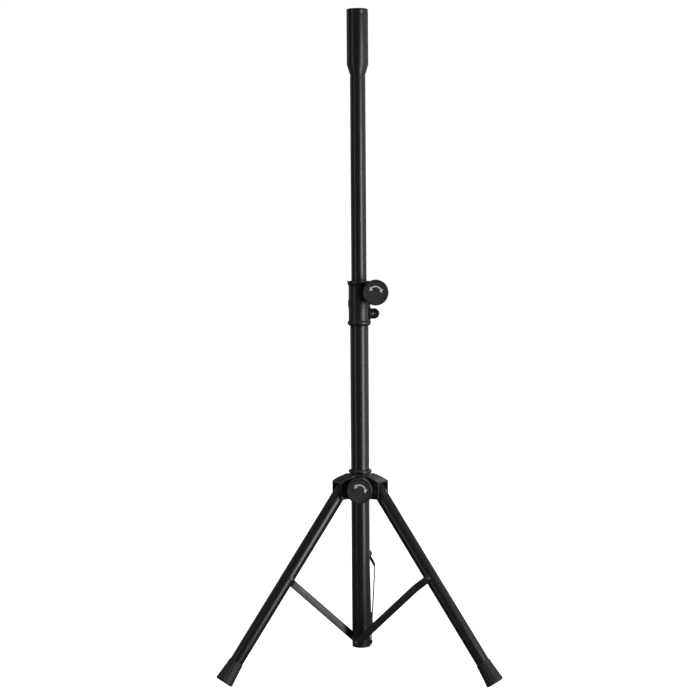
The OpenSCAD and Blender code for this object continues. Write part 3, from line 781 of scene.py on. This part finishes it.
def turn_mark(bm, face_z):
    """The printed mark: a double-headed arc that says which way the knob turns."""
    middle_r, half_line, arm, lift = 10 * MM, 1 * MM, radians(52), 0.04 * MM
    faces = []

    def at(radius, angle):
        return bm.verts.new((radius * sin(angle), radius * cos(angle), face_z + lift))

    steps = 24
    band = [(at(middle_r - half_line, a), at(middle_r + half_line, a))
            for a in (-arm + 2 * arm * k / steps for k in range(steps + 1))]
    for (a, b), (c, d) in zip(band, band[1:]):
        faces.append(bm.faces.new([a, b, d, c]))
    for side in (-1, 1):
        tip = [at(middle_r - 3.2 * MM, side * arm), at(middle_r, side * (arm + radians(34))),
               at(middle_r + 3.2 * MM, side * arm)]
        faces.append(bm.faces.new(tip))
    for face in faces:
        face.normal_update()
        if face.normal.z < 0:
            face.normal_flip()
        face.material_index = PRINT


def make_knob(name, node, place):
    """A round clamp knob: fine ribs round the grip, a bevelled rim, a sunk grained face, a hollow back."""
    deep, bevel, ribs = 16 * MM, 3 * MM, 45
    face_r, socket_r = knob_r - bevel - 0.4 * MM, 4.02 * MM
    face_z = deep - 0.9 * MM

    def ribbed(radius, height, angle):
        if radius < knob_r - 0.35 * MM or not 1 * MM < height < deep - bevel - 0.6 * MM:
            return radius
        swell = min(1, (height - 1 * MM) / (0.8 * MM), (deep - bevel - 0.6 * MM - height) / (0.8 * MM))
        return radius - 0.35 * MM * max(0, swell) * (0.5 + 0.5 * cos(ribs * angle)) ** 2

    grip = [(knob_r, 1 * MM + (deep - bevel - 1.6 * MM) * k / 12) for k in range(13)]
    outline = soften([
        (socket_r, 0.6 * MM), (8.5 * MM, 0.6 * MM, 0.4 * MM), (8.5 * MM, deep - 5 * MM, 1 * MM),
        (knob_r - 3.2 * MM, deep - 5 * MM, 1 * MM), (knob_r - 3.2 * MM, 0, 0.4 * MM),
        (knob_r - 0.8 * MM, 0, 0.3 * MM), (knob_r, 0.8 * MM)], closed=False)
    outline += grip + soften([
        grip[-1], (knob_r, deep, bevel), (face_r + 0.3 * MM, deep, 0.3 * MM),
        (face_r - 0.6 * MM, face_z, 0.5 * MM), (0, face_z)], closed=False, steps=8)[1:]
    outline += [(0, 9 * MM), (socket_r, 9 * MM)]
    knob = turned(name, outline, steps=360, shape=ribbed)
    place_on(knob, node, "knob_black", knob_plastic, node)
    knob.data.materials.append(knob_grain)
    knob.data.materials.append(pale_print)
    bm = bmesh.new()
    bm.from_mesh(knob.data)
    for face in bm.faces:
        if face.normal.z > 0.9 and face.calc_center_median().z > face_z - 0.1 * MM:
            inside = max(v.co.xy.length for v in face.verts) < face_r - 0.3 * MM
            face.material_index = FACE if inside else GRIP
    turn_mark(bm, face_z)
    bm.to_mesh(knob.data)
    bm.free()
    knob.data.transform(place)


def make_knobs():
    for node, tilt in (("height_knob", -8), ("hub_knob", -24)):
        centre, back_y = middle(node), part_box(node)[1].y
        place = facing_front(centre.x, back_y, centre.z) @ Matrix.Rotation(radians(tilt), 4, "Z")
        make_knob(f"{node}_grip", node, place)


def dress_inner_parts():
    """Parts that keep their CAD shape get their finish."""
    finishes = {"zinc_steel": zinc_steel, "acetal": acetal, "brass_insert": brass,
                "moulded_black": moulded, "rivet_black": rivet_black}
    slots = {s["node"]: s["material_slot"] for s in frame["record"]["subparts"]}
    for node, piece in frame["nodes"].items():
        if slots[node] in finishes:
            piece.data.materials.clear()
            piece.data.materials.append(finishes[slots[node]])


# ---- stage ----

def make_stage():
    """A white floor that curves up into a backdrop all round."""
    reach, curve_r, tall = 7, 2.5, 9
    line = soften([(0, 0), (reach, 0, curve_r), (reach, tall)], closed=False, steps=24)
    bm = bmesh.new()
    points = [bm.verts.new((x, 0, z)) for x, z in line]
    edges = [bm.edges.new(pair) for pair in zip(points, points[1:])]
    bmesh.ops.spin(bm, geom=points + edges, cent=(0, 0, 0), axis=(0, 0, 1), angle=2 * pi, steps=96)
    bmesh.ops.remove_doubles(bm, verts=bm.verts, dist=0.01 * MM)
    floor = finish_mesh("white_sweep", bm)
    paper = bpy.data.materials.new("white_paper")
    paper.use_nodes = True
    shader = paper.node_tree.nodes["Principled BSDF"]
    shader.inputs["Base Color"].default_value = (0.92, 0.92, 0.92, 1)
    shader.inputs["Roughness"].default_value = 0.9
    shader.inputs["Specular IOR Level"].default_value = 0.1
    shader.inputs["Emission Color"].default_value = (1, 1, 1, 1)
    shader.inputs["Emission Strength"].default_value = 0.92
    floor.data.materials.append(paper)
    floor.visible_diffuse = False
    floor.visible_glossy = False
    floor.visible_shadow = False


place_camera()
light_studio()
make_stage()
make_tubes()
make_pole_adapter()
make_mast_foot()
make_collar()
make_hub()
make_pivots()
make_lug_bolt()
make_knobs()
for leg in LEGS:
    make_leg(leg)
    make_foot(leg)
    make_brace(leg)
dress_inner_parts()
bpy.context.scene.view_settings.view_transform = "Standard"
